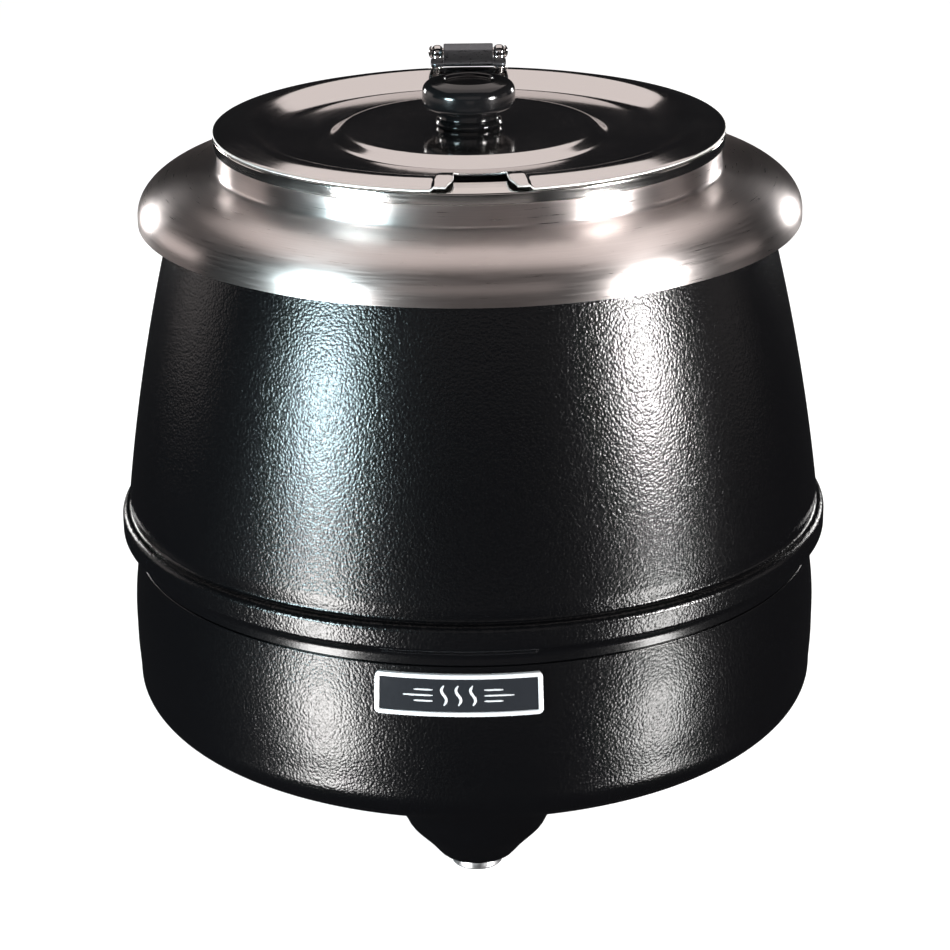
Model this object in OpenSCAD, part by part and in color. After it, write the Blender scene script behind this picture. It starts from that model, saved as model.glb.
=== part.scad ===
// Electric soup kettle: a bain-marie body with a lift-out pot, a loose collar and a hinged lid.
// Millimetres, +Z up, the front faces -Y. The origin is the centre of the plane the three feet stand on.

/* [Body] */
// Diameter over the raised bead, the widest place of the body
bead_d = 345; // [335:1:355]
// Height of the joint between the lower and the upper shell
seam_z = 128; // [122:1:134]
// Height of the upper shell's rim, which carries the water pan
rim_z = 301; // [298:1:304]
// Height of the flat underside of the lower shell
base_z = 38; // [34:1:42]
// Sheet thickness of the two painted shells
shell_t = 1.2; // [0.8:0.1:1.6]

/* [Feet] */
// Diameter of the circle the three feet stand on
foot_pcd = 210; // [200:2:216]
// Diameter of one foot
foot_d = 24; // [20:1:26]
// Height of the part of a foot that shows below its leg
foot_h = 5.5; // [4:0.5:7]

/* [Pot and pan] */
// Inner radius of the food pot
pot_r = 118; // [112:1:118]
// Height of the food pot's inner floor
pot_floor_z = 75; // [70:1:90]
// Sheet thickness of the food pot
pot_t = 0.9; // [0.6:0.1:1.0]
// Inner radius of the water pan
pan_r = 122.5; // [122.5:0.5:124]
// Height of the water pan's underside
pan_z = 60; // [58:1:62]
// Sheet thickness of the water pan
pan_t = 1.2; // [0.8:0.1:1.4]

/* [Collar and lid] */
// Radius of the collar's lower edge
collar_r = 158; // [155:1:160]
// Radius of the collar's rim and of the lid
lid_r = 121.5; // [120.5:0.5:122]
// Height of the lid's edge
lid_z = 334; // [333:0.5:335]
// Sheet thickness of the collar
collar_t = 1.2; // [1.0:0.1:1.2]
// Sheet thickness of the lid
lid_t = 1.0; // [0.8:0.1:1.0]
// Width of the ladle notch at its inner end
notch_w = 22; // [18:1:24]
// Turn of the ladle notch off the front, seen from above
notch_turn = 2.5; // [-10:0.5:10]
// Widest radius of the lid's knob
knob_r = 22; // [19:1:24]

/* [Hinge] */
// Distance of the hinge pin behind the kettle's axis
pin_y = 127.5; // [127:0.5:129]
// Height of the hinge pin
pin_z = 341; // [341:0.5:342]
// Radius of the hinge pin
pin_r = 2; // [1.8:0.1:2.2]

/* [Controls] */
// Height of the thermostat's axis
dial_z = 84; // [80:1:88]
// Radius of the control knob's skirt
dial_r = 21; // [18:1:22]
// Radius of the cable gland's bore
gland_bore_r = 3.6; // [3:0.1:4]

/* [Badge] */
// Width of the name plate's frame
badge_w = 76; // [60:1:90]
// Height of the name plate's frame
badge_h = 19.6; // [16:0.2:20]
// Turn of the name plate off the front, seen from above
badge_turn = -2.6; // [-6:0.1:6]

/* [Hidden] */

$fn = 96;
eps = 0.01;
bead_r = bead_d / 2;
seam_r = bead_r - 7.1;
wall_r0 = bead_r - 3.5;
wall_z0 = seam_z + 24.5;
neck_r = lid_r - 1.7;
leg_r = foot_pcd / 2;
foot_edge = 0.4;
leg_turns = [0, 120, 240];
belly_r = bead_r - 4.3;
belly_z = seam_z - 25;
bowl_z = seam_z - 64;
bowl_floor_r = 118;
cover_r = 68;
cover_hole_r = 58;
screw_turns = [100, 140, 220, 260];
shell_screw_z = seam_z - 8;
lip_r = seam_r - shell_t - 1.2;
stud_ring_r = 40;
stud_turns = [60, 180, 300];
element_r = 62;
element_tube_r = 3.5;
plate_z = pan_z - 3;
element_z = plate_z - element_tube_r;
clamp_z = element_z - element_tube_r - 2;
cutout_y = 98;
bulb_turn = 24;
gland_turn = 28;
lamp_turn = -22;
gland_z = dial_z;
shaft_r = 3;
shaft_hole_r = 3.05;
badge_z = seam_z - 13.5;
badge_rim = 2.2;
block_x = -50;
block_y = 84;
earth_x = 46;
bracket_span = 19;
rivet_turns = [-4.2, 4.2];
knuckle_x = 12.6;
ear_x0 = 13;
ear_x1 = 18.6;

// ---- shared shapes ----

// Points on an arc, from angle a0 to a1 degrees
function arc(cx, cy, rx, ry, a0, a1, n) =
    [for (i = [0:n]) let (a = a0 + (a1 - a0) * i / n) [cx + rx * cos(a), cy + ry * sin(a)]];

function unit(v) = v / norm(v);

// Direction along a path at point i, averaged over its two neighbours
function along(p, i) =
    let (a = p[max(i - 1, 0)], b = p[i], c = p[min(i + 1, len(p) - 1)])
    i == 0 ? unit(c - b) : i == len(p) - 1 ? unit(b - a) : unit(unit(b - a) + unit(c - b));

// The path moved t to its right, as the second face of a sheet
function beside(p, t) =
    [for (i = [0:len(p) - 1]) let (d = along(p, i)) [p[i][0] + t * d[1], p[i][1] - t * d[0]]];

function reversed(p) = [for (i = [len(p) - 1:-1:0]) p[i]];

// A sheet of thickness t spun round the axis, lying to the right of its path
module spun_sheet(path, t)
    rotate_extrude() polygon(concat(path, reversed(beside(path, t))));

// A solid of revolution between the axis and a path
module spun_solid(path)
    rotate_extrude() polygon(concat(path, [[0, path[len(path) - 1][1]], [0, path[0][1]]]));

// Places children on the rear of the body at an angle from straight back
module at_rear(turn, z) rotate([0, 0, turn]) translate([0, 0, z]) rotate([-90, 0, 0]) children();

module round_copies(turns, r) for (a = turns) rotate([0, 0, a]) translate([0, -r, 0]) children();

module hex_nut(r_flats, bore_r, h) difference() {
    cylinder(r = r_flats / cos(30), h = h, $fn = 6);
    translate([0, 0, -1]) cylinder(r = bore_r, h = h + 2);
}

// A pan head over a shank; the head's underside is at z = 0 and the shank points down
module screw(head_r, head_h, shank_r, shank_l) {
    difference() {
        rotate_extrude() polygon(concat([[0, 0], [head_r, 0]], arc(0, head_h * 0.35, head_r,
            head_h * 0.65, 0, 90, 6)));
        translate([0, 0, head_h * 0.55]) {
            cube([head_r * 1.1, 0.9, head_h], center = true);
            cube([0.9, head_r * 1.1, head_h], center = true);
        }
    }
    translate([0, 0, -shank_l]) cylinder(r = shank_r, h = shank_l + eps);
}

// A run of round wire through a list of points
module wire(points, r)
    for (i = [0:len(points) - 2]) hull() {
        translate(points[i]) sphere(r = r, $fn = 10);
        translate(points[i + 1]) sphere(r = r, $fn = 10);
    }

// ---- body shells ----

// The upper wall leans in more and more towards the rim
function wall_r(z) = wall_r0 - 0.1162 * (z - wall_z0) - 0.000523 * pow(z - wall_z0, 2);

shoulder_z = rim_z - 10;
shoulder_r = wall_r(shoulder_z);

upper_path = concat(
    [[lip_r + shell_t, seam_z - 16], [lip_r + shell_t, seam_z - 0.4]],
    [[seam_r, seam_z], [seam_r - 0.3, seam_z + 3.5], [seam_r + 0.8, seam_z + 6.5]],
    arc(seam_r + 1.2, seam_z + 15, 5.9, 7.2, -70, 78, 12),
    [[wall_r0 - 0.9, wall_z0 - 1.6]],
    [for (i = [0:8]) let (z = wall_z0 + (shoulder_z - wall_z0) * i / 8) [wall_r(z), z]],
    arc(shoulder_r - 9.3, rim_z - 10, 9, 10, 10, 90, 7),
    [[pan_r + pan_t + 2.5, rim_z]]
);

module upper_shell() color([0.05, 0.05, 0.055])
    difference() {
        spun_sheet(reversed(upper_path), shell_t);
        round_copies(screw_turns, 0) translate([0, -seam_r + 4, shell_screw_z])
            rotate([90, 0, 0]) cylinder(r = 2, h = 12, center = true);
    }

// The belly tapers in to the seam; below it the bowl turns under to the flat base
function bowl_path(inset) = concat(
    [[0, base_z + inset]],
    arc(bowl_floor_r, bowl_z, belly_r - 1 - inset - bowl_floor_r, bowl_z - base_z - inset, -90, 0, 12),
    [[belly_r - 0.15 - inset, belly_z - 20], [belly_r - inset, belly_z], [seam_r - inset, seam_z - 0.6]]
);

// One pressed leg: a blunt cone that flares into the base
function leg_path(inset) = concat(
    [[0, foot_h + inset]],
    arc(11.5 - inset, foot_h + 6, 7, 6 - inset, -90, -35, 4),
    [[22 - inset, foot_h + 6.5]],
    [[31.5 - inset, foot_h + 16.5]],
    arc(31.5 + 18 - inset, foot_h + 16.5, 18, base_z - foot_h - 16.5 + 8, 180, 120, 5),
    [[0, base_z + 14]]
);

module lower_solid(inset) {
    spun_solid(bowl_path(inset));
    round_copies(leg_turns, leg_r) intersection() {
        rotate_extrude() polygon(leg_path(inset));
        translate([0, leg_r, 0]) cylinder(r = belly_r - 12 - inset, h = base_z + 12);
    }
}

module lower_shell() color([0.05, 0.05, 0.055])
    difference() {
        lower_solid(0);
        lower_solid(shell_t);
        translate([0, 0, seam_z - 2]) cylinder(r = seam_r - shell_t, h = 4);
        cylinder(r = cover_hole_r, h = base_z + 10);
        round_copies([45, 135, 225, 315], (cover_r + cover_hole_r) / 2) cylinder(r = 1.8, h = base_z + 10);
        round_copies(leg_turns, leg_r) cylinder(r = 3.1, h = 20);
        round_copies(screw_turns, 0) translate([0, -seam_r, shell_screw_z])
            rotate([90, 0, 0]) cylinder(r = 2.2, h = 12, center = true);
        at_rear(0, dial_z) cylinder(r = 23, h = 200);
        at_rear(lamp_turn, dial_z) cylinder(r = 4.1, h = 200);
        at_rear(gland_turn, gland_z) cylinder(r = 8.1, h = 200);
        badge_pin_holes();
    }

module base_cover() color("dimgray")
    difference() {
        translate([0, 0, base_z - 1.2]) cylinder(r = cover_r, h = 1.2);
        round_copies([45, 135, 225, 315], (cover_r + cover_hole_r) / 2) cylinder(r = 1.8, h = base_z + 10);
        for (a = [0:30:330]) rotate([0, 0, a]) translate([30, 0, 0]) cylinder(r = 2.5, h = base_z + 10);
    }

module base_cover_screws() color("silver")
    round_copies([45, 135, 225, 315], (cover_r + cover_hole_r) / 2) translate([0, 0, base_z - 1.2])
        rotate([180, 0, 0]) screw(3.2, 2, 1.7, 8);

module shell_screws() color("silver")
    for (a = screw_turns) rotate([0, 0, a])
        translate([0, -(seam_r + (belly_r - seam_r) * 7.4 / 24.4 + 0.3), shell_screw_z])
            rotate([90, 0, 0]) screw(3.5, 2.2, 1.9, 9);

// ---- feet ----

module feet() color("gray")
    round_copies(leg_turns, leg_r) {
        translate([0, 0, foot_edge]) cylinder(r = foot_d / 2, h = foot_h - foot_edge);
        cylinder(r1 = foot_d / 2 - foot_edge, r2 = foot_d / 2, h = foot_edge);
        translate([0, 0, foot_h - eps]) cylinder(r = 3, h = 12);
    }

module foot_nuts() color("silver")
    round_copies(leg_turns, leg_r) translate([0, 0, foot_h + shell_t]) hex_nut(5, 3, 5);

// ---- name plate ----

// The belly's surface and its lean at a height between belly and seam
function belly_at(z) = belly_r + (seam_r - belly_r) * (z - belly_z) / (seam_z - 0.6 - belly_z);

module badge_sector(w, h, t0, t1) {
    span = w / (bead_r - 5) * 180 / PI;
    z0 = badge_z - h / 2;
    z1 = badge_z + h / 2;
    rotate([0, 0, badge_turn - 90 - span / 2]) rotate_extrude(angle = span) polygon([
        [belly_at(z0) + t0, z0], [belly_at(z0) + t1, z0], [belly_at(z1) + t1, z1], [belly_at(z1) + t0, z1]]);
}

module badge_pin_holes() badge_pin_shape(1.3, 6, 2);

// Two pins square to the belly, from a depth inside its surface to a height over it
module badge_pin_shape(r, inner, outer)
    for (side = [-1, 1]) rotate([0, 0, badge_turn + side * 10])
        translate([0, inner - belly_at(badge_z), badge_z])
        rotate([90, 0, 0]) cylinder(r = r, h = inner + outer, $fn = 32);

module badge_frame() color("silver")
    difference() {
        badge_sector(badge_w, badge_h, 0, 1.6);
        badge_sector(badge_w - 2 * badge_rim, badge_h - 2 * badge_rim, -1, 3);
    }

module badge_plate() color([0.08, 0.08, 0.08])
    badge_sector(badge_w - 2 * badge_rim, badge_h - 2 * badge_rim, 0, 1);

module badge_pins() color("silver") badge_pin_shape(1.2, 1.9, -0.2);

// ---- pan, heater and insulation ----

pan_floor = pan_z + pan_t;
pan_path = concat(
    [[0, pan_z]],
    arc(pan_r + pan_t - 12, pan_z + 12, 12, 12, -90, 0, 6),
    [[pan_r + pan_t, rim_z], [pan_r + pan_t + 11, rim_z], [pan_r + pan_t + 11, rim_z + 0.9],
     [pan_r, rim_z + 0.9]],
    arc(pan_r - 12 + pan_t, pan_z + 12, 12 - pan_t, 12 - pan_t, 0, -90, 6),
    [[0, pan_floor]]
);

module water_pan() color("gainsboro") rotate_extrude() polygon(pan_path);

module insulation_ring() color([0.85, 0.8, 0.6])
    translate([0, 0, seam_z + 24]) difference() {
        cylinder(r = pan_r + pan_t + 9, h = 130);
        translate([0, 0, -1]) cylinder(r = pan_r + pan_t, h = 132);
    }

module heat_plate() color("lightgray")
    difference() {
        translate([0, 0, plate_z]) cylinder(r = 84, h = pan_z - plate_z);
        round_copies(stud_turns, stud_ring_r) cylinder(r = 2.4, h = pan_z + 5);
    }

// The sheathed ring and its two cold ends, which point to the rear
element_end_x = 12;
element_end_y = element_r + 22;
module heating_element() color([0.35, 0.33, 0.32]) {
    translate([0, 0, element_z]) rotate_extrude() translate([element_r, 0])
        circle(r = element_tube_r, $fn = 64);
    for (side = [-1, 1]) translate([side * element_end_x, 0, element_z]) rotate([-90, 0, 0]) {
        translate([0, 0, element_r - 1]) cylinder(r = element_tube_r - 0.5, h = 15, $fn = 48);
        translate([0, 0, element_r + 10]) cylinder(r = 1.5, h = element_end_y - element_r - 10, $fn = 32);
    }
}

module clamp_plate() color("silver")
    difference() {
        translate([0, 0, clamp_z]) cylinder(r = element_r + 8, h = 2);
        round_copies(stud_turns, stud_ring_r) cylinder(r = 2.4, h = pan_z);
        cylinder(r = 22, h = pan_z);
    }

module clamp_studs() color("silver")
    round_copies(stud_turns, stud_ring_r) translate([0, 0, base_z + 4]) cylinder(r = 2, h = pan_z - base_z - 4);

module clamp_nuts() color("silver")
    round_copies(stud_turns, stud_ring_r) translate([0, 0, clamp_z - 3.2]) hex_nut(3.5, 2, 3.2);

module thermal_cutout() color("saddlebrown") {
    translate([0, cutout_y, pan_z - 6]) cylinder(r = 8, h = 6);
    translate([0, cutout_y, pan_z - 10]) cylinder(r = 6, h = 4 + eps);
    for (side = [-1, 1]) translate([side * 3.5 - 0.4, cutout_y - 3, pan_z - 15]) cube([0.8, 6, 5 + eps]);
}

bulb_r = 3;
module bulb_place() rotate([0, 0, bulb_turn]) translate([0, pan_r + pan_t + bulb_r, 78]) children();
module sensor_bulb() color([0.72, 0.45, 0.2]) bulb_place() cylinder(r = bulb_r, h = 60, $fn = 48);

module capillary_tube() color([0.72, 0.45, 0.2])
    wire([
        [-(pan_r + pan_t + bulb_r) * sin(bulb_turn), (pan_r + pan_t + bulb_r) * cos(bulb_turn), 77],
        [-52, 119, 70], [-40, 130, 66], [-24, 140, 70], [-18, 146, dial_z - 8]], 0.9);

// ---- controls at the rear ----

thermostat_y = 136;
module thermostat() color("ivory")
    difference() {
        union() {
            translate([-17, thermostat_y, dial_z - 17]) cube([34, 22, 34]);
            translate([0, thermostat_y + 22 - eps, dial_z]) rotate([-90, 0, 0]) cylinder(r = 5, h = 3);
        }
        translate([0, thermostat_y + 4, dial_z]) rotate([-90, 0, 0]) cylinder(r = shaft_hole_r, h = 40);
        for (side = [-1, 1]) translate([side * 14, thermostat_y + 12, dial_z]) rotate([-90, 0, 0])
            cylinder(r = 2, h = 12);
    }

bezel_face_y = belly_r + 1.6;
module dial_bezel() color([0.1, 0.1, 0.1])
    difference() {
        union() {
            difference() {
                at_rear(0, dial_z) translate([0, 0, 150]) cylinder(r = 28, h = bezel_face_y - 150);
                lower_solid(0);
            }
            at_rear(0, dial_z) translate([0, 0, thermostat_y + 22.1]) cylinder(r = 22.9, h = 12);
        }
        at_rear(0, dial_z) cylinder(r = 5.2, h = 300);
        for (side = [-1, 1]) translate([side * 14, 0, dial_z]) rotate([-90, 0, 0]) {
            cylinder(r = 2.1, h = 300);
            translate([0, 0, bezel_face_y - 2.6]) cylinder(r = 3.6, h = 10);
        }
    }

module thermostat_screws() color("silver")
    for (side = [-1, 1]) translate([side * 14, bezel_face_y - 2.6, dial_z]) rotate([-90, 0, 0])
        screw(3.3, 2.2, 1.95, 18);

module thermostat_shaft() color("silver")
    translate([0, thermostat_y + 5, dial_z]) rotate([-90, 0, 0])
        cylinder(r = shaft_r, h = bezel_face_y + 13 - thermostat_y - 5);

knob_y = bezel_face_y + 0.8;
module control_knob() color([0.06, 0.06, 0.06])
    translate([0, knob_y, dial_z]) rotate([-90, 0, 0]) difference() {
        union() {
            rotate_extrude() polygon(concat([[0, 0], [dial_r, 0], [dial_r, 1.8]],
                arc(15.5, 15, 2.5, 2.5, 0, 90, 6), [[0, 17.5]]));
            translate([-2.2, -16.5, 17.4]) cube([4.4, 33, 1.8]);
        }
        translate([0, 0, -1]) cylinder(r = shaft_r, h = 13.2 + 0.2);
        for (a = [0:20:340]) rotate([0, 0, a]) translate([20.2, 0, 3]) cylinder(r = 1.6, h = 12, $fn = 24);
        translate([-0.5, 4, 18.8]) cube([1, 11, 2]);
    }

module pilot_lamp_lens() color([0.95, 0.45, 0.1])
    at_rear(lamp_turn, dial_z) {
        translate([0, 0, belly_r + 0.1]) cylinder(r = 5.4, h = 1.3);
        translate([0, 0, belly_r + 1.4]) dome(5.2, 2);
        translate([0, 0, 167.2]) cylinder(r = 4, h = belly_r - 167);
    }

module pilot_lamp_body() color("white")
    at_rear(lamp_turn, dial_z) translate([0, 0, 147]) {
        cylinder(r = 4, h = 20.1);
        cylinder(r = 5.8, h = 18);
        for (side = [-1, 1]) translate([side * 2.4 - 0.4, -2, -6]) cube([0.8, 4, 6 + eps]);
    }

module cable_gland() color([0.12, 0.12, 0.12])
    difference() {
        union() {
            difference() {
                at_rear(gland_turn, gland_z) translate([0, 0, 155]) cylinder(r = 11.5, h = belly_r + 4 - 155);
                lower_solid(0);
            }
            at_rear(gland_turn, gland_z) translate([0, 0, 152]) cylinder(r = 8, h = 18);
            at_rear(gland_turn, gland_z) translate([0, 0, belly_r + 4 - eps])
                rotate_extrude() polygon(concat(
                    [[0, 0], [9.5, 0], [9.5, 6]], arc(6.5, 6, 3, 3, 0, 90, 5), [[0, 9]]));
        }
        at_rear(gland_turn, gland_z) cylinder(r = gland_bore_r, h = 300);
        at_rear(gland_turn, gland_z) cylinder(r = gland_bore_r + 1.2, h = belly_r + 2);
    }

module gland_nut() color([0.2, 0.2, 0.2])
    at_rear(gland_turn, gland_z) translate([0, 0, 155]) difference() {
        cylinder(r = 12, h = 5, $fn = 6);
        translate([0, 0, -1]) cylinder(r = 8, h = 8);
    }

block_z = base_z + shell_t;
module terminal_block() color("white")
    difference() {
        translate([block_x - 17, block_y - 8, block_z]) cube([34, 16, 12]);
        for (i = [-1, 1]) translate([block_x + i * 13.5, block_y, 0]) cylinder(r = 1.6, h = 80, $fn = 32);
        for (i = [-1:1]) translate([block_x + i * 7, block_y - 20, block_z + 6]) rotate([-90, 0, 0])
            cylinder(r = 1.9, h = 40, $fn = 32);
    }

module terminal_screws() color("silver")
    for (i = [-1, 1]) translate([block_x + i * 13.5, block_y, block_z + 12]) screw(2.4, 1.6, 1.5, 12);

module earth_stud() color("gold")
    translate([earth_x, block_y, block_z]) {
        cylinder(r = 2, h = 12);
        cylinder(r = 4, h = 1.2, $fn = 48);
        translate([0, 0, 4]) cylinder(r = 4, h = 3.2, $fn = 6);
    }

// Two leads from the element, one from the block to the thermostat, and the earth lead
lead_r = 1.4;
lead_z = block_z + 6;
block_face_y = block_y + 8 + lead_r + 0.05;
thermostat_under_z = dial_z - 17 - lead_r - 0.05;
module internal_leads() color("firebrick") {
    wire([[-element_end_x, element_end_y + 1.5, element_z], [-16, 93, lead_z + 3], [-28, 98, lead_z],
        [block_x + 7, 99, lead_z], [block_x + 7, block_face_y, lead_z]], lead_r);
    wire([[element_end_x, element_end_y + 1.5, element_z], [15, 94, element_z - 3],
        [16, 110, 50], [12, 126, 54], [10, 142, thermostat_under_z]], lead_r);
    wire([[block_x, block_face_y, lead_z], [block_x, 104, lead_z], [-30, 118, 48],
        [-9, 131, 56], [-8, 142, thermostat_under_z]], lead_r);
    wire([[earth_x, block_y + 4.5, block_z + 2.6], [earth_x - 4, block_y + 14, block_z + 3],
        [20, 106, block_z + 3]], lead_r);
}

// ---- pot ----

pot_flange_z = rim_z + 1.2;
pot_path = concat(
    [[0, pot_floor_z - pot_t]],
    arc(pot_r + pot_t - 18, pot_floor_z - pot_t + 18, 18, 18, -90, 0, 8),
    [[pot_r + pot_t, pot_flange_z]],
    arc(pot_r + 11.5, pot_flange_z + 2.4, 2.3, 2.3, -90, 180, 10),
    [[pot_r + 9.2, pot_flange_z + pot_t + 0.1], [pot_r, pot_flange_z + pot_t + 0.1]],
    arc(pot_r - 18 + pot_t, pot_floor_z + 18 - pot_t, 18 - pot_t, 18 - pot_t, 0, -90, 8),
    [[0, pot_floor_z]]
);

module food_pot() color([0.8, 0.8, 0.8]) rotate_extrude() polygon(pot_path);

// ---- collar ----

seat_z = pot_flange_z + 4.8;
flange_r = lid_r - 11;
skirt_z = rim_z - 9;
band_z = lid_z - 6.5;
collar_path = concat(
    [[flange_r, lid_z + 0.9], [lid_r - 6, lid_z + 0.1]],
    arc(lid_r - 1.4, lid_z - 2.7, 1.4, 1.4, 80, 0, 4),
    [[lid_r, band_z], [neck_r, band_z - 0.9]],
    arc(neck_r + 5, band_z - 6, 5, 5, 180, 258, 6),
    arc(neck_r + 8, skirt_z + 4.5, collar_r - neck_r - 8, 18.5, 78, 0, 14),
    [[collar_r, skirt_z]]
);

module collar() color([0.75, 0.72, 0.7])
    difference() {
        spun_sheet(collar_path, collar_t);
        rotate([0, 0, 180]) for (a = rivet_turns) rotate([0, 0, a]) translate([0, -neck_r, band_z - 4])
            rotate([90, 0, 0]) cylinder(r = 1.6, h = 12, center = true, $fn = 32);
    }

// Welded inside the neck: it rests on the pot's rim and drops into the pot's mouth
ring_r = pot_r - 1.2;
weld_r = neck_r - collar_t;
module locating_ring() color("silver")
    rotate_extrude() polygon([
        [ring_r - 1, seat_z - 14], [ring_r, seat_z - 14], [ring_r, seat_z], [pot_r + 14, seat_z],
        [pot_r + 14, seat_z + 1], [weld_r, seat_z + 1], [weld_r, band_z - 1],
        [weld_r - 1, band_z - 1], [weld_r - 1, seat_z + 1], [ring_r - 1, seat_z + 1]]);

// ---- hinge ----

module rear_sector(r0, r1, z0, z1, half_w) {
    span = 2 * asin(half_w / r1);
    rotate([0, 0, 90 - span / 2]) rotate_extrude(angle = span)
        polygon([[r0, z0], [r1, z0], [r1, z1], [r0, z1]]);
}

// A slab across the hinge with its outline drawn in the YZ plane
module across(x0, x1) translate([x0, 0, 0]) rotate([90, 0, 90]) linear_extrude(x1 - x0) children();

module hinge_bracket() color("silver")
    difference() {
        union() {
            rear_sector(neck_r, lid_r + 1.8, band_z - 6, band_z - 1, bracket_span);
            rear_sector(lid_r + 0.3, lid_r + 1.8, band_z - 1 - eps, lid_z - 2, bracket_span);
            for (side = [-1, 1]) across(side > 0 ? ear_x0 : -ear_x1, side > 0 ? ear_x1 : -ear_x0) {
                polygon([[lid_r + 0.3, lid_z - 4], [lid_r + 1.8, lid_z - 6], [pin_y + 3.5, pin_z],
                    [pin_y - 3.5, pin_z]]);
                translate([pin_y, pin_z]) circle(r = 3.5, $fn = 48);
            }
        }
        translate([0, pin_y, pin_z]) rotate([0, 90, 0]) cylinder(r = pin_r, h = 80, center = true);
        rotate([0, 0, 180]) for (a = rivet_turns) rotate([0, 0, a]) translate([0, -neck_r, band_z - 4])
            rotate([90, 0, 0]) cylinder(r = 1.6, h = 14, center = true, $fn = 32);
    }

module bracket_rivets() color("silver")
    rotate([0, 0, 180]) for (a = rivet_turns) rotate([0, 0, a]) translate([0, 0, band_z - 4]) {
        translate([0, -neck_r + collar_t, 0]) rotate([90, 0, 0])
            cylinder(r = 1.6, h = collar_t + 3.5, $fn = 32);
        translate([0, -lid_r - 1.8, 0]) rotate([90, 0, 0]) dome(2.8, 1.4);
        translate([0, -neck_r + collar_t, 0]) rotate([-90, 0, 0]) dome(2.6, 1.1);
    }

module dome(r, h) rotate_extrude() polygon(concat([[0, 0]], arc(0, 0, r, h, 0, 90, 6)));

module hinge_pin() color("silver")
    translate([0, pin_y, pin_z]) rotate([0, 90, 0]) {
        translate([0, 0, -ear_x1]) cylinder(r = pin_r, h = 2 * ear_x1);
        translate([0, 0, ear_x1]) dome(3.2, 1.8);
        translate([0, 0, -ear_x1]) rotate([180, 0, 0]) dome(3.2, 1.8);
    }

strap_z = lid_z + 3.1;
strap_rivet_x = 16;
strap_rivet_y = 103;
module hinge_strap() color([0.3, 0.31, 0.32])
    difference() {
        union() {
            across(-knuckle_x, knuckle_x) {
                translate([pin_y, pin_z]) circle(r = 4.2, $fn = 64);
                polygon([[97, strap_z], [pin_y - 2, strap_z], [pin_y, pin_z + 4.1], [pin_y - 5, pin_z + 3],
                    [pin_y - 10, strap_z + 2], [97, strap_z + 1.6]]);
            }
            translate([-bracket_span, 97, strap_z]) cube([2 * bracket_span, 15, 1.4]);
        }
        translate([0, pin_y, pin_z]) rotate([0, 90, 0]) cylinder(r = pin_r + 0.05, h = 80, center = true);
        for (side = [-1, 1]) translate([side * strap_rivet_x, strap_rivet_y, 0])
            cylinder(r = 1.6, h = 400, $fn = 32);
    }

// Riveted through the lid near its crest
strap_rivets_z = lid_z + 1.1;
module strap_rivets() color("silver")
    for (side = [-1, 1]) translate([side * strap_rivet_x, strap_rivet_y, 0]) {
        translate([0, 0, strap_rivets_z]) cylinder(r = 1.6, h = strap_z + 1.4 - strap_rivets_z, $fn = 32);
        translate([0, 0, strap_z + 1.4]) dome(3, 1.8);
        translate([0, 0, strap_rivets_z]) rotate([180, 0, 0]) dome(2.6, 1);
    }

// ---- lid ----

crest_r = lid_r - 14;
crest_z = lid_z + 3;
trough_z = lid_z - 4.4;
plateau_r = 60;
lid_path = concat(
    [[0, lid_z]],
    [[plateau_r - 2, lid_z]],
    arc(plateau_r - 2, lid_z - 2.2, 4, 2.2, 80, 20, 3),
    arc(plateau_r + 7.4, trough_z + 2.2, 4, 2.2, 200, 270, 3),
    arc(crest_r - 17, trough_z + 5, 9, 5, -90, -35, 4),
    arc(crest_r, crest_z - 6, 12, 6, 150, 90, 5),
    arc(crest_r, crest_z - 10, 22, 10, 82, 51, 4)
);

// The ladle notch in plan, or with its sides and its inner end moved out, the raised pad round it
module notch_plan(sides, end) {
    w = notch_w / 2 + sides;
    inner_y = end - lid_r + 16;
    rotate(notch_turn) polygon(concat(
        [[-w - 4, -lid_r - 5], [-w - 4, -lid_r + 3], [-w, -lid_r + 8]],
        arc(-w + 3, inner_y, 3, 3, 180, 90, 4),
        arc(w - 3, inner_y, 3, 3, 90, 0, 4),
        [[w, -lid_r + 8], [w + 4, -lid_r + 3], [w + 4, -lid_r - 5]]));
}

module lid() color([0.82, 0.8, 0.78])
    difference() {
        union() {
            spun_sheet(lid_path, lid_t);
            intersection() {
                translate([0, 0, 1.5]) spun_sheet(lid_path, lid_t + 0.9);
                translate([0, 0, lid_z - 10]) linear_extrude(30) notch_plan(7, 1.5);
            }
        }
        translate([0, 0, lid_z - 20]) linear_extrude(40) notch_plan(0, 0);
        cylinder(r = 2.1, h = 400, $fn = 48);
        for (side = [-1, 1]) translate([side * strap_rivet_x, strap_rivet_y, 0])
            cylinder(r = 1.6, h = 400, $fn = 32);
    }

knob_h = 23.5;
module lid_knob() color([0.03, 0.03, 0.03])
    translate([0, 0, lid_z]) difference() {
        rotate_extrude() polygon(concat(
            [[0, 0], [15.5, 0]], arc(14.6, 2, 1.4, 1.4, -40, 70, 4),
            [[14.2, 4.4], [14.4, 6], [15.8, 8.2]],
            arc(knob_r - 7, knob_h - 8, 7, 6.8, -60, 90, 12),
            [[12.5, knob_h - 1.6], [0, knob_h - 2]]));
        translate([0, 0, -1]) cylinder(r = 2, h = 14.2, $fn = 48);
    }

module knob_washer() color("silver")
    translate([0, 0, lid_z - lid_t - 1.2]) difference() {
        cylinder(r = 7, h = 1.2, $fn = 64);
        translate([0, 0, -1]) cylinder(r = 2.1, h = 4, $fn = 48);
    }

module knob_screw() color("silver")
    translate([0, 0, lid_z - lid_t - 1.2]) rotate([180, 0, 0]) screw(3.8, 2.4, 2, 15);

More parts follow.
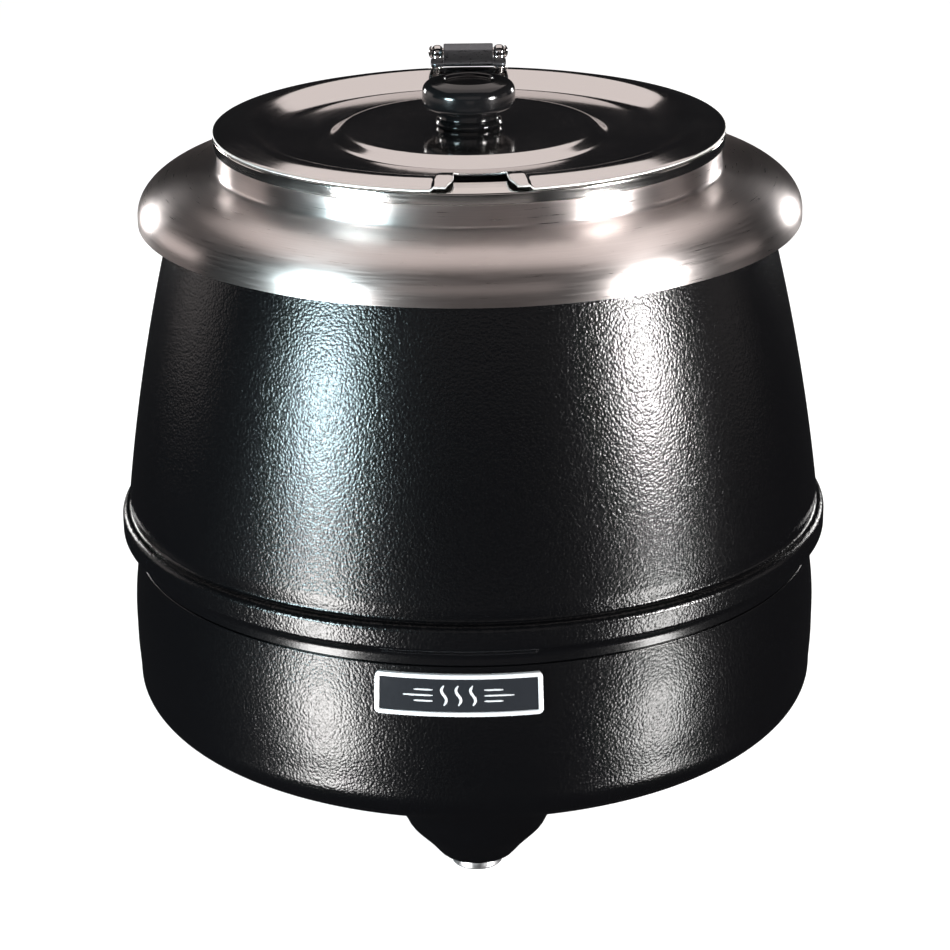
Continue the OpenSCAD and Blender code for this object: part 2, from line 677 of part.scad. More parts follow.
upper_shell();
lower_shell();
base_cover();
base_cover_screws();
shell_screws();
feet();
foot_nuts();
badge_frame();
badge_plate();
badge_pins();
water_pan();
insulation_ring();
heat_plate();
heating_element();
clamp_plate();
clamp_studs();
clamp_nuts();
thermal_cutout();
sensor_bulb();
capillary_tube();
thermostat();
thermostat_screws();
dial_bezel();
thermostat_shaft();
control_knob();
pilot_lamp_lens();
pilot_lamp_body();
cable_gland();
gland_nut();
terminal_block();
terminal_screws();
earth_stud();
internal_leads();
food_pot();
collar();
locating_ring();
hinge_bracket();
bracket_rivets();
hinge_pin();
lid();
hinge_strap();
strap_rivets();
lid_knob();
knob_washer();
knob_screw();
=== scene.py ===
"""Looks of the electric soup kettle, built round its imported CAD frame.

Lengths are millimetres and angles degrees, unless a name says otherwise. The mesh helpers turn them into
metres. +Z is up, the front faces -Y, and the origin is the centre of the plane that the feet stand on.
"""

import math

import bmesh
import bpy
from mathutils import Matrix, Vector
from mathutils.geometry import delaunay_2d_cdt


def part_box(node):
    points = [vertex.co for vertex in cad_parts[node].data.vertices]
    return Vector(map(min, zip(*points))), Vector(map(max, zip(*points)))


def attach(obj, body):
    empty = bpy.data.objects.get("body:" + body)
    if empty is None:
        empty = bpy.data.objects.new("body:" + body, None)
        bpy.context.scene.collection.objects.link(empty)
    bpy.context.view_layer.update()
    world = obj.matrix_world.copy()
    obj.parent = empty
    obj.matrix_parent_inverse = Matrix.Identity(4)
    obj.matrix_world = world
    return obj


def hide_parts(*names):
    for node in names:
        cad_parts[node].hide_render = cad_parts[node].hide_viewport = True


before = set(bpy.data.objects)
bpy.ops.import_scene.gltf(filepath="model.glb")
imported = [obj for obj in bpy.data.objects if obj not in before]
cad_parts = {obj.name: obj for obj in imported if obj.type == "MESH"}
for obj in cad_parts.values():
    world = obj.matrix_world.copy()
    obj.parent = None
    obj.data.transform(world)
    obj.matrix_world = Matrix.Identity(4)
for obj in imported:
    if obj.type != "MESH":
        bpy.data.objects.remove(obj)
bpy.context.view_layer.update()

MM = 0.001
SEGMENTS = 256
SHARP = 32


def extent(node):
    """The lowest and highest corner of a CAD node, in millimetres."""
    low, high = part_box(node)
    return low / MM, high / MM


# ---- driving sizes, read from the frame ----

upper_low, upper_high = extent("upper_shell")
collar_low, collar_high = extent("collar")
knob_low, knob_high = extent("lid_knob")
pin_low, pin_high = extent("hinge_pin")
pot_low, pot_high = extent("food_pot")
dial_low, dial_high = extent("control_knob")
frame_low, frame_high = extent("badge_frame")
strap_low = extent("hinge_strap")[0]

BEAD_R = upper_high.x
SEAM_R = BEAD_R - 7.1
SEAM_Z = upper_low.z + 16
RIM_Z = upper_high.z
WALL_R = BEAD_R - 3.5
WALL_Z = SEAM_Z + 24.5
BELLY_R = BEAD_R - 4.3
BELLY_Z = SEAM_Z - 25
TUCK_Z = BELLY_Z - 20
BOWL_Z = SEAM_Z - 64
BOWL_FLOOR_R = 118
SHEET = 1.2
LEG_FLAT_Z = extent("lower_shell")[0].z
BASE_Z = extent("base_cover")[1].z
FOOT_R = 12
LEG_R = -extent("feet")[0].y - FOOT_R
LEG_TURNS = (0, 120, 240)
COLLAR_R = collar_high.x
LID_R = extent("lid")[1].x
KNOB_R = knob_high.x
LID_Z = knob_low.z
RIM_BAND_Z = LID_Z - 6.5
PIN_Y = (pin_low.y + pin_high.y) / 2
PIN_Z = (pin_low.z + pin_high.z) / 2
DIAL_Z = (dial_low.z + dial_high.z) / 2
DIAL_R = dial_high.x
BEZEL_Y = extent("dial_bezel")[1].y
BADGE_TURN = -2.6
BADGE_Z = (frame_low.z + frame_high.z) / 2
BADGE_H = frame_high.z - frame_low.z
BADGE_W = 76
BADGE_RIM = 2.2
NOTCH_TURN = 2.5
LAMP_TURN = -22
GLAND_TURN = 28


# ---- outlines ----

def steps(a, b, n):
    """n + 1 even values from a to b."""
    return [a + (b - a) * i / n for i in range(n + 1)]


def arc(cx, cy, rx, ry, a0, a1, n):
    """Points on an ellipse's arc."""
    turns = [math.radians(a) for a in steps(a0, a1, n)]
    return [(cx + rx * math.cos(a), cy + ry * math.sin(a)) for a in turns]


def rounded(corners, closed=False, per_point=9):
    """A path through (x, y, radius) corners with an arc at each, one point for every per_point degrees."""
    out = []
    for i, (x, y, r) in enumerate(corners):
        p = Vector((x, y))
        if r <= 0 or (not closed and i in (0, len(corners) - 1)):
            out.append((x, y))
            continue
        a = Vector(corners[i - 1][:2]) - p
        b = Vector(corners[(i + 1) % len(corners)][:2]) - p
        half = a.angle(b) / 2
        cut = min(r / math.tan(half), 0.49 * a.length, 0.49 * b.length)
        r = cut * math.tan(half)
        a.normalize()
        b.normalize()
        centre = p + (a + b).normalized() * (r / math.sin(half))
        start = math.atan2(*reversed(p + a * cut - centre))
        end = math.atan2(*reversed(p + b * cut - centre))
        turn = (end - start + math.pi) % (2 * math.pi) - math.pi
        n = max(2, math.ceil(abs(math.degrees(turn)) / per_point))
        out += [(centre.x + r * math.cos(start + turn * k / n), centre.y + r * math.sin(start + turn * k / n))
                for k in range(n + 1)]
    return out


def beside(path, t, closed=False):
    """The path moved t to its right."""
    out = []
    for i, p in enumerate(path):
        before = path[i - 1] if closed or i else p
        after = path[(i + 1) % len(path)] if closed or i < len(path) - 1 else p
        d = Vector(after) - Vector(before)
        d.normalize()
        out.append((p[0] + t * d.y, p[1] - t * d.x))
    return out


def sheet(path, t):
    """The closed section of a sheet of thickness t, which lies to the right of its path."""
    return path + beside(path, t)[::-1]


def between(points, x):
    """Straight-line reading of a list of (x, y) points sorted by x."""
    for (x0, y0), (x1, y1) in zip(points, points[1:]):
        if x <= x1:
            return y0 + (y1 - y0) * max(x - x0, 0) / max(x1 - x0, 1e-9)
    return points[-1][1]


def smooth(t):
    """0 to 1 with no corner at either end."""
    t = min(max(t, 0), 1)
    return t * t * (3 - 2 * t)


# ---- meshes ----

def at_rear(turn, z):
    """Places local +Z on the rear of the body, at an angle from straight back."""
    return Matrix.Rotation(math.radians(turn), 4, "Z") @ Matrix.Translation((0, 0, z)) @ Matrix.Rotation(
        math.radians(-90), 4, "X")


ACROSS = Matrix(((0, 0, 1, 0), (1, 0, 0, 0), (0, 1, 0, 0), (0, 0, 0, 1)))


def piece(name, verts, faces, materials, body, slot, replaces=(), place=None, choose=None, sharp=SHARP):
    """A finished mesh piece from points in millimetres.
    place is a matrix or a function of a point, and choose gives a face's material by its centre."""
    if isinstance(place, Matrix):
        verts = [place @ Vector(v) for v in verts]
    elif place:
        verts = [place(*v) for v in verts]
    mesh = bpy.data.meshes.new(name)
    mesh.from_pydata([(x * MM, y * MM, z * MM) for x, y, z in verts], [], faces)
    bm = bmesh.new()
    bm.from_mesh(mesh)
    bmesh.ops.recalc_face_normals(bm, faces=bm.faces)
    bm.to_mesh(mesh)
    bm.free()
    mesh.shade_smooth()
    mesh.set_sharp_from_angle(angle=math.radians(sharp))
    for m in materials:
        mesh.materials.append(m)
    if choose:
        for f in mesh.polygons:
            f.material_index = choose(f.center / MM)
    obj = bpy.data.objects.new(name, mesh)
    bpy.context.scene.collection.objects.link(obj)
    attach(obj, body)
    if replaces:
        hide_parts(*replaces)
    return obj


def bridge(faces, a, b):
    """Faces between two rings of vertex numbers, where a ring of one is a pole."""
    n = max(len(a), len(b))
    for i in range(n):
        j = (i + 1) % n
        corners = [a[i % len(a)], a[j % len(a)], b[j % len(b)], b[i % len(b)]]
        corners = list(dict.fromkeys(corners))
        if len(corners) > 2:
            faces.append(corners)


def spun(section, segments=SEGMENTS, closed=True, shape=None):
    """Points and faces of a (radius, height) section spun round the axis.
    shape(r, z, angle) moves a point to another (r, z)."""
    verts, rings = [], []
    for r, z in section:
        if r < 1e-4:
            rings.append([len(verts)])
            verts.append((0, 0, z))
            continue
        rings.append(range(len(verts), len(verts) + segments))
        for i in range(segments):
            a = 2 * math.pi * i / segments
            rr, zz = shape(r, z, a) if shape else (r, z)
            verts.append((rr * math.sin(a), -rr * math.cos(a), zz))
    faces = []
    for a, b in zip(rings, rings[1:]):
        bridge(faces, a, b)
    if closed:
        bridge(faces, rings[-1], rings[0])
    return verts, faces


def slab(outline, z0, z1, bevel):
    """Points and faces of an anticlockwise outline raised from z0 to z1, with rounded edges."""
    n = 3 if bevel < 1 else 7
    levels = [(bevel * (1 - math.sin(a)), z0 + bevel * (1 - math.cos(a))) for a in steps(0, math.pi / 2, n)]
    levels += [(bevel * (1 - math.cos(a)), z1 - bevel * (1 - math.sin(a))) for a in steps(0, math.pi / 2, n)]
    verts, rings, faces = [], [], []
    for inset, z in levels:
        rings.append(range(len(verts), len(verts) + len(outline)))
        verts += [(x, y, z) for x, y in beside(outline, -inset, closed=True)]
    for a, b in zip(rings, rings[1:]):
        bridge(faces, a, b)
    return verts, faces + [list(rings[0])[::-1], list(rings[-1])]


def merged(*parts):
    """Several (points, faces) pairs as one."""
    verts, faces = [], []
    for v, f in parts:
        faces += [[i + len(verts) for i in face] for face in f]
        verts += v
    return verts, faces


def moved(part, matrix):
    """A (points, faces) pair with its points moved by a matrix."""
    return [tuple(matrix @ Vector(v)) for v in part[0]], part[1]


# ---- materials ----

def principled(name, colour, roughness, metallic=0.0, **more):
    """A material whose even values sit on the shader's own sockets."""
    mat = bpy.data.materials.new(name)
    mat.use_nodes = True
    bsdf = mat.node_tree.nodes["Principled BSDF"]
    bsdf.inputs["Base Color"].default_value = (*colour, 1)
    bsdf.inputs["Roughness"].default_value = roughness
    bsdf.inputs["Metallic"].default_value = metallic
    for socket, value in more.items():
        bsdf.inputs[socket.replace("_", " ")].default_value = value
    return mat


def add(mat, kind, inputs=(), **settings):
    """Adds a node, sets it up and links or sets its inputs by name or number."""
    node = mat.node_tree.nodes.new(kind)
    for key, value in settings.items():
        setattr(node, key, value)
    for key, value in dict(inputs).items():
        if isinstance(value, bpy.types.NodeSocket):
            mat.node_tree.links.new(value, node.inputs[key])
        else:
            node.inputs[key].default_value = value
    return node


def place_of(mat):
    return add(mat, "ShaderNodeTexCoord").outputs["Object"]


def noise(mat, per_metre, detail, vector=None, w=None, rough=0.5):
    """Noise with about per_metre lumps in a metre."""
    inputs = {"Vector": vector or place_of(mat), "Scale": per_metre, "Detail": detail, "Roughness": rough}
    node = add(mat, "ShaderNodeTexNoise", inputs, noise_dimensions="4D" if w else "3D")
    if w:
        mat.node_tree.links.new(w, node.inputs["W"])
    return node.outputs["Fac"]


def math_node(mat, operation, a, b):
    return add(mat, "ShaderNodeMath", {0: a, 1: b}, operation=operation).outputs[0]


def remap(mat, value, from_low, from_high, low, high):
    inputs = {"Value": value, "From Min": from_low, "From Max": from_high, "To Min": low, "To Max": high}
    return add(mat, "ShaderNodeMapRange", inputs).outputs["Result"]


def drive(mat, socket, value):
    mat.node_tree.links.new(value, mat.node_tree.nodes["Principled BSDF"].inputs[socket])


def bump(mat, height, distance, strength):
    """A bump of a height, distance millimetres tall."""
    inputs = {"Height": height, "Distance": distance * MM, "Strength": strength}
    drive(mat, "Normal", add(mat, "ShaderNodeBump", inputs).outputs["Normal"])


def tint(mat, value, dark, light):
    """Colours between two by a value from 0 to 1. Sockets 6 and 7 are the mix node's colours."""
    inputs = {0: value, 6: (*dark, 1), 7: (*light, 1)}
    drive(mat, "Base Color", add(mat, "ShaderNodeMix", inputs, data_type="RGBA").outputs[2])


def round_streaks(mat, fineness=1500, wave=7):
    """Fine lines that run round the kettle's axis, as turning or brushing leaves."""
    xyz = add(mat, "ShaderNodeSeparateXYZ", {0: place_of(mat)})
    flat = add(mat, "ShaderNodeCombineXYZ", {"X": xyz.outputs["X"], "Y": xyz.outputs["Y"]}).outputs[0]
    radius = add(mat, "ShaderNodeVectorMath", {0: flat}, operation="LENGTH").outputs["Value"]
    unit = add(mat, "ShaderNodeVectorMath", {0: flat}, operation="NORMALIZE").outputs[0]
    unit = add(mat, "ShaderNodeVectorMath", {0: unit, "Scale": wave}, operation="SCALE").outputs[0]
    across = math_node(mat, "MULTIPLY", radius, fineness)
    lift = add(mat, "ShaderNodeCombineXYZ", {"Z": across}).outputs[0]
    vector = add(mat, "ShaderNodeVectorMath", {0: unit, 1: lift}, operation="ADD").outputs[0]
    return noise(mat, 1, 3, vector, math_node(mat, "MULTIPLY", xyz.outputs["Z"], fineness), 0.6)


def powder_coat():
    """Textured semi-gloss black paint. The rolled band above the seam is nearly smooth."""
    mat = principled("powder_coat", (0.001, 0.001, 0.0012), 0.2, Specular_IOR_Level=0.25)
    where = place_of(mat)
    soft = noise(mat, 260, 1, where)
    shift = {0: where, 1: (0.0011, 0.0007, 0.0005)}
    shifted = add(mat, "ShaderNodeVectorMath", shift, operation="ADD").outputs[0]
    cells = add(mat, "ShaderNodeTexVoronoi", {"Vector": shifted, "Scale": 800.0, "Smoothness": 0.6},
                feature="SMOOTH_F1").outputs["Distance"]
    fine = noise(mat, 1300, 2, where)
    lumps = math_node(mat, "MULTIPLY", cells, -1.0)
    height = math_node(mat, "ADD", lumps, math_node(mat, "MULTIPLY", fine, 0.7))
    height = math_node(mat, "ADD", height, math_node(mat, "MULTIPLY", soft, 0.5))
    z = add(mat, "ShaderNodeSeparateXYZ", {0: where}).outputs["Z"]
    below = remap(mat, z, (SEAM_Z - 1.5) * MM, (SEAM_Z - 0.5) * MM, 1, 0.12)
    above = remap(mat, z, (SEAM_Z + 6) * MM, (SEAM_Z + 9) * MM, 0.12, 1)
    height = math_node(mat, "MULTIPLY", height, math_node(mat, "MAXIMUM", below, above))
    bump(mat, height, 0.125, 1.0)
    drive(mat, "Roughness", remap(mat, fine, 0.3, 0.7, 0.16, 0.24))
    return mat


def brushed(name, colour, low, high, depth=0.0012):
    """Stainless sheet brushed round the axis, so that its gloss spreads across the lines."""
    mat = principled(name, colour, low, 1.0, Anisotropic=0.85, Anisotropic_Rotation=0.25)
    drive(mat, "Tangent", add(mat, "ShaderNodeTangent", direction_type="RADIAL", axis="Z").outputs[0])
    lines = round_streaks(mat)
    broad = noise(mat, 18, 3)
    bump(mat, lines, depth, 0.6)
    drive(mat, "Roughness", remap(mat, lines, 0.3, 0.7, low, high))
    shade = [c * 0.86 for c in colour]
    tint(mat, remap(mat, math_node(mat, "ADD", lines, broad), 0.7, 1.3, 0, 1), shade, colour)
    return mat


def polished(name, colour, roughness):
    """Mirror-polished stainless with faint turning lines and wiping marks."""
    mat = principled(name, colour, roughness, 1.0)
    lines = round_streaks(mat, 900, 4)
    smears = noise(mat, 35, 4)
    bump(mat, lines, 0.002, 0.5)
    drive(mat, "Roughness", remap(mat, math_node(mat, "MULTIPLY", lines, smears), 0.15, 0.4, roughness * 0.8,
                                  roughness * 1.5))
    return mat


def metal(name, colour, roughness, grain=400, depth=0.01):
    """Plain metal with a faint grain, a little uneven in colour and gloss."""
    mat = principled(name, colour, roughness, 1.0)
    lumps = noise(mat, grain, 3)
    bump(mat, lumps, depth, 0.5)
    drive(mat, "Roughness", remap(mat, lumps, 0.3, 0.7, roughness * 0.8, roughness * 1.2))
    tint(mat, noise(mat, 60, 2), [c * 0.8 for c in colour], colour)
    return mat


def plastic(name, colour, roughness, grain=700, depth=0.02, **more):
    """Moulded, enamelled or printed stuff with a faint grain."""
    mat = principled(name, colour, roughness, **more)
    lumps = noise(mat, grain, 2)
    bump(mat, lumps, depth, 0.5)
    drive(mat, "Roughness", remap(mat, lumps, 0.3, 0.7, roughness * 0.85, roughness * 1.15))
    tint(mat, noise(mat, 90, 2), [c * 0.85 for c in colour], colour)
    return mat


powder = powder_coat()
brushed_steel = brushed("brushed_steel", (0.72, 0.66, 0.64), 0.27, 0.36)
pot_steel = brushed("pot_steel", (0.6, 0.59, 0.58), 0.24, 0.36)
mirror_steel = polished("mirror_steel", (0.66, 0.64, 0.63), 0.1)
band_steel = polished("band_steel", (0.68, 0.66, 0.64), 0.13)
dark_steel = metal("dark_steel", (0.16, 0.17, 0.185), 0.32)
zinc = metal("zinc_plate", (0.6, 0.6, 0.58), 0.34)
foot_metal = metal("foot_metal", (0.5, 0.5, 0.51), 0.36)
badge_metal = plastic("badge_metal", (0.42, 0.42, 0.43), 0.4, 500, 0.01, Metallic=0.35)
aluminium = metal("cast_aluminium", (0.7, 0.7, 0.71), 0.45, 250, 0.06)
copper = metal("drawn_copper", (0.72, 0.42, 0.26), 0.3)
brass = metal("brass", (0.75, 0.6, 0.3), 0.3)
sheath = metal("element_sheath", (0.2, 0.18, 0.17), 0.5, 500, 0.03)
gloss_black = plastic("gloss_black", (0.006, 0.006, 0.0065), 0.13, 120, 0.01)
# Rougher steel for the lid's cut edge. Its colour is lifted well above the lid steel's to paint a bright
# highlight line along the edge.
cut_edge_with_painted_highlight = metal("cut_edge_with_painted_highlight", (0.85, 0.84, 0.82), 0.5, 700)
badge_black = plastic("badge_enamel", (0.008, 0.009, 0.011), 0.16, 150, 0.01)
grained_black = plastic("grained_black", (0.016, 0.016, 0.017), 0.42, 1400, 0.05)
ivory = plastic("ivory_plastic", (0.72, 0.69, 0.6), 0.4)
phenolic = plastic("brown_phenolic", (0.14, 0.06, 0.03), 0.35)
silicone = plastic("lead_sleeve", (0.45, 0.05, 0.035), 0.5)
print_white = plastic("printed_white", (0.75, 0.75, 0.73), 0.45)
amber = plastic("amber_lens", (0.95, 0.36, 0.04), 0.12, 500, 0.05, Transmission_Weight=0.6)
wool = plastic("mineral_wool", (0.62, 0.56, 0.4), 0.95, 220, 1.2)


# ---- body shells ----

def wall_r(z):
    """The upper wall leans in more and more towards the rim."""
    return WALL_R - 0.1162 * (z - WALL_Z) - 0.000523 * (z - WALL_Z) ** 2


def upper_shell():
    top_z = RIM_Z - 10
    lip = rounded([
        (SEAM_R - 1.2, SEAM_Z - 16, 0), (SEAM_R - 1.2, SEAM_Z - 0.3, 0.25), (SEAM_R, SEAM_Z, 0.35),
        (SEAM_R - 0.4, SEAM_Z + 5, 6), (SEAM_R + 3, SEAM_Z + 8.2, 1.2), (BEAD_R, SEAM_Z + 9.2, 5),
        (BEAD_R, SEAM_Z + 20.4, 5.2), (WALL_R - 1.4, WALL_Z - 2.4, 2.2),
        (wall_r(WALL_Z + 4), WALL_Z + 4, 0)], per_point=6)
    wall = [(wall_r(z), z) for z in steps(WALL_Z + 6, top_z, 44)]
    shoulder = arc(wall_r(top_z) - 9.3, top_z, 9, 10, 10, 90, 10)
    path = lip + wall + shoulder + [(pot_high.x - 3, RIM_Z)]
    verts, faces = spun(sheet(path[::-1], SHEET))
    piece("upper_shell_skin", verts, faces, [powder], "base", "painted_black", ["upper_shell"])


# One pressed leg: its height by distance from its own axis, a blunt cone that flares into the base
LEG = rounded([(0, LEG_FLAT_Z, 0), (17, LEG_FLAT_Z, 5.5), (23, LEG_FLAT_Z + 7.5, 8),
               (32.5, LEG_FLAT_Z + 17.5, 14), (41, BASE_Z + 5, 6), (52, BASE_Z + 34, 0)], per_point=6)
LEG_BLEND = 9


def under_z(x, y, z):
    """Height of the bowl's underside at a point, with the three legs blended into it."""
    for turn in LEG_TURNS:
        a = math.radians(turn)
        d = math.hypot(x - LEG_R * math.sin(a), y + LEG_R * math.cos(a))
        leg = between(LEG, d) + max(d - LEG[-1][0], 0) * 3
        near = max(LEG_BLEND - abs(leg - z), 0) / LEG_BLEND
        z = min(leg, z) - near * near * LEG_BLEND / 4
    return z


def lower_shell():
    side = rounded([(SEAM_R - 0.9, SEAM_Z - 0.6, 0), (SEAM_R, SEAM_Z - 0.7, 0.5), (BELLY_R, BELLY_Z + 1, 150),
                    (BELLY_R - 0.15, TUCK_Z, 0)], per_point=1)
    side = side[:-1] + [(BELLY_R - 0.15 - 0.85 * smooth(t), TUCK_Z - (TUCK_Z - BOWL_Z) * t)
                        for t in steps(0, 1, 8)]
    bowl = arc(BOWL_FLOOR_R, BOWL_Z, BELLY_R - 1 - BOWL_FLOOR_R, BOWL_Z - BASE_Z, 0, -90, 34)
    flat = [(r, BASE_Z) for r in steps(BOWL_FLOOR_R - 2.4, 60, 24)] + [(r, BASE_Z) for r in steps(54, 0, 6)]

    def with_legs(r, z, a):
        return (r, under_z(r * math.sin(a), -r * math.cos(a), z)) if z < TUCK_Z else (r, z)

    verts, faces = spun(side + bowl[1:] + flat, 288, closed=False, shape=with_legs)
    obj = piece("lower_shell_skin", verts, faces, [powder], "base", "painted_black", ["lower_shell"],
                sharp=50)
    wall = obj.modifiers.new("sheet", "SOLIDIFY")
    wall.thickness = SHEET * MM
    wall.offset = -1


def feet():
    section = rounded([(0, 0, 0), (FOOT_R - 3, 0, 0), (FOOT_R, 0, 1.1), (FOOT_R, LEG_FLAT_Z - 1.2, 0.5),
                       (FOOT_R - 0.7, LEG_FLAT_Z - 0.9, 0.3), (FOOT_R - 0.7, LEG_FLAT_Z, 0),
                       (3, LEG_FLAT_Z, 0), (3, LEG_FLAT_Z + 12, 0.4), (0, LEG_FLAT_Z + 12, 0)])
    one = spun(section, 96, closed=False)
    three = [moved(one, Matrix.Rotation(math.radians(a), 4, "Z") @ Matrix.Translation((0, -LEG_R, 0)))
             for a in LEG_TURNS]
    verts, faces = merged(*three)
    piece("feet_turned", verts, faces, [foot_metal], "base", "foot_grey", ["feet"])


# ---- name plate ----

def belly_at(z):
    return BELLY_R + (SEAM_R - BELLY_R) * (z - BELLY_Z) / (SEAM_Z - 0.6 - BELLY_Z)


def on_badge(u, v, w):
    """A point u across and v up the name plate, w out from the belly."""
    a = math.radians(BADGE_TURN) + u / (BEAD_R - 5)
    r = belly_at(BADGE_Z + v) + w
    return r * math.sin(a), -r * math.cos(a), BADGE_Z + v


def rectangle(w, h, r, n=24):
    """An anticlockwise rectangle with rounded corners, its long sides cut into n."""
    corners = [(w / 2, h / 2), (-w / 2, h / 2), (-w / 2, -h / 2), (w / 2, -h / 2)]
    path = rounded([(x, y, r) for x, y in corners], closed=True, per_point=15)
    out = []
    for p, q in zip(path, path[1:] + path[:1]):
        pieces = n if abs(p[0] - q[0]) > w / 2 else 1
        out += [(p[0] + (q[0] - p[0]) * k / pieces, p[1] + (q[1] - p[1]) * k / pieces) for k in range(pieces)]
    return out


def badge_frame():
    rim, tall = BADGE_RIM, 1.6
    levels = [(0, 0), (0, tall - 0.45), (0.15, tall - 0.12), (0.45, tall), (rim - 0.45, tall),
              (rim - 0.12, tall - 0.14), (rim, tall - 0.5), (rim, 0)]
    verts, rings, faces = [], [], []
    for inset, w in levels:
        loop = rectangle(BADGE_W - 2 * inset, BADGE_H - 2 * inset, max(2.4 - inset, 0.5))
        rings.append(range(len(verts), len(verts) + len(loop)))
        verts += [(x, y, w) for x, y in loop]
    for a, b in zip(rings, rings[1:] + rings[:1]):
        bridge(faces, a, b)
    piece("badge_rim", verts, faces, [badge_metal], "base", "badge_silver", ["badge_frame"], on_badge)


def badge_face():
    verts, faces = grid(BADGE_W - 2 * BADGE_RIM + 0.1, BADGE_H - 2 * BADGE_RIM + 0.1, 40, 6, 0.95)
    piece("badge_face", verts, faces, [badge_black], "base", "badge_black", ["badge_plate"], on_badge)


def badge_waves():
    """A generic mark: three upright waves with three bars on each side."""
    low, high = 0.9, 1.3
    parts = []
    for x in (-6.5, 0, 6.5):
        wave = [(x + 1.1 * math.sin(t * 2 * math.pi), 9.2 * (t - 0.5)) for t in steps(0, 1, 20)]
        parts.append(ribbon(wave, 1.3, low, high))
    for side in (-1, 1):
        for v, reach in ((2.6, 20), (0, 25), (-2.6, 20)):
            parts.append(ribbon([(side * u, v) for u in steps(11.5, reach, 12)], 0.9, low, high))
    verts, faces = merged(*parts)
    piece("badge_waves", verts, faces, [badge_metal], "base", "badge_silver", place=on_badge)


def grid(w, h, nx, ny, top):
    """A thin closed sheet of quads that can be bent."""
    verts = [(x, y, z) for z in (0, top) for y in steps(-h / 2, h / 2, ny) for x in steps(-w / 2, w / 2, nx)]
    row, layer = nx + 1, (nx + 1) * (ny + 1)
    faces = []
    for j in range(ny):
        for i in range(nx):
            a = j * row + i
            faces.append([a, a + row, a + row + 1, a + 1])
            faces.append([layer + a, layer + a + 1, layer + a + row + 1, layer + a + row])
    edge = [*range(row), *range(row * 2 - 1, layer, row), *range(layer - 2, layer - row - 1, -1),
            *range(layer - 2 * row, 0, -row)]
    for a, b in zip(edge, edge[1:] + edge[:1]):
        faces.append([a, b, layer + b, layer + a])
    return verts, faces


def ribbon(points, width, low, high):
    """A raised line through points, tapered to its ends, with bevelled sides."""
    verts, rings, faces = [], [], []
    for i, p in enumerate(points):
        d = Vector(points[min(i + 1, len(points) - 1)]) - Vector(points[max(i - 1, 0)])
        d.normalize()
        t = i / (len(points) - 1)
        half = width / 2 * (0.45 + 0.55 * min(1, 6 * min(t, 1 - t)))
        rings.append(range(len(verts), len(verts) + 4))
        for across, w in ((-half, low), (-half * 0.75, high), (half * 0.75, high), (half, low)):
            verts.append((p[0] - d.y * across, p[1] + d.x * across, w))
    for a, b in zip(rings, rings[1:]):
        bridge(faces, a, b)
    return verts, faces + [list(rings[0]), list(rings[-1])[::-1]]


# ---- pot ----

def food_pot():
    t = 0.9
    inner, floor = 118, pot_low.z + t
    flange = RIM_Z + 1.2
    out = inner + 11.5
    outside = rounded([(0, floor - t, 0), (inner + t, floor - t, 18), (inner + t, flange, 1.2),
                       (out, flange, 0)])
    rim = arc(out, flange + 2.4, 2.3, 2.3, -80, 170, 16)
    inside = rounded([(out - 1.2, flange + t + 0.1, 0), (inner, flange + t + 0.1, 1.5), (inner, floor, 17.1),
                      (0, floor, 0)])
    verts, faces = spun(outside + rim + inside, closed=False)
    piece("food_pot_drawn", verts, faces, [pot_steel], "pot", "satin_stainless", ["food_pot"])


# ---- collar ----

def collar():
    neck = LID_R - 1.7
    skirt_z = collar_low.z
    rim = rounded([(LID_R - 11, LID_Z + 0.85, 0), (LID_R - 5, LID_Z - 0.1, 3), (LID_R, LID_Z - 1.3, 1.1),
                   (LID_R, RIM_BAND_Z, 0.5), (neck, RIM_BAND_Z - 0.7, 0.4), (neck, RIM_BAND_Z - 11.8, 2.6),
                   (neck + 8, RIM_BAND_Z - 12.7, 0)], per_point=4)
    dome = arc(neck + 8, skirt_z + 3.6, COLLAR_R - neck - 8, RIM_BAND_Z - 16.3 - skirt_z, 90, 0, 36)
    verts, faces = spun(sheet(rim + dome[1:] + [(COLLAR_R, skirt_z)], SHEET), 320)
    piece("collar_spun", verts, faces, [brushed_steel, band_steel], "collar", "brushed_stainless",
          ["collar"], choose=lambda c: int(c.z > RIM_BAND_Z - 0.35))


# ---- lid ----

LID_T = 1.0
CREST_R = LID_R - 14
CREST_Z = LID_Z + 3
TROUGH_Z = LID_Z - 4.4
PLATEAU_R = 60
LID_SECTION = rounded([
    (0, LID_Z, 0), (PLATEAU_R - 0.4, LID_Z, 5), (PLATEAU_R + 6.2, TROUGH_Z, 3.5),
    (CREST_R - 13, TROUGH_Z, 12), (CREST_R - 2, CREST_Z, 12), (CREST_R + 3, CREST_Z, 16),
    (LID_R, LID_Z + 0.2, 0)], per_point=2)
NOTCH_IN = LID_R - 18
PAD_RISE = 1.5


def lid_z(x, y):
    """Height of the lid's top at a point seen from above, with the raised pad round the ladle notch."""
    r = math.hypot(x, y)
    turn = math.radians(NOTCH_TURN)
    u, v = x * math.cos(turn) + y * math.sin(turn), x * math.sin(turn) - y * math.cos(turn)
    half = 20.3 + 1.7 * (v - 108) / 13.5
    edge = math.hypot(max(abs(u) - half + 8, 0), max(NOTCH_IN + 5.8 - v, 0)) - 8 if v > 80 else 9
    return between(LID_SECTION, r) + PAD_RISE * smooth((0.5 - edge) / 1.3)


def notch_side(grow):
    """Half of the ladle notch in plan, inner end first, as (half-width, distance from the axis)."""
    return rounded([(0, NOTCH_IN - grow, 0), (11.3 + grow, NOTCH_IN - grow, 3 + grow),
                    (12 + grow, LID_R - 7.5, 8), (15.4 + grow, LID_R - 2.5, 5),
                    (15.9 + grow, LID_R + 4, 0)], per_point=10)


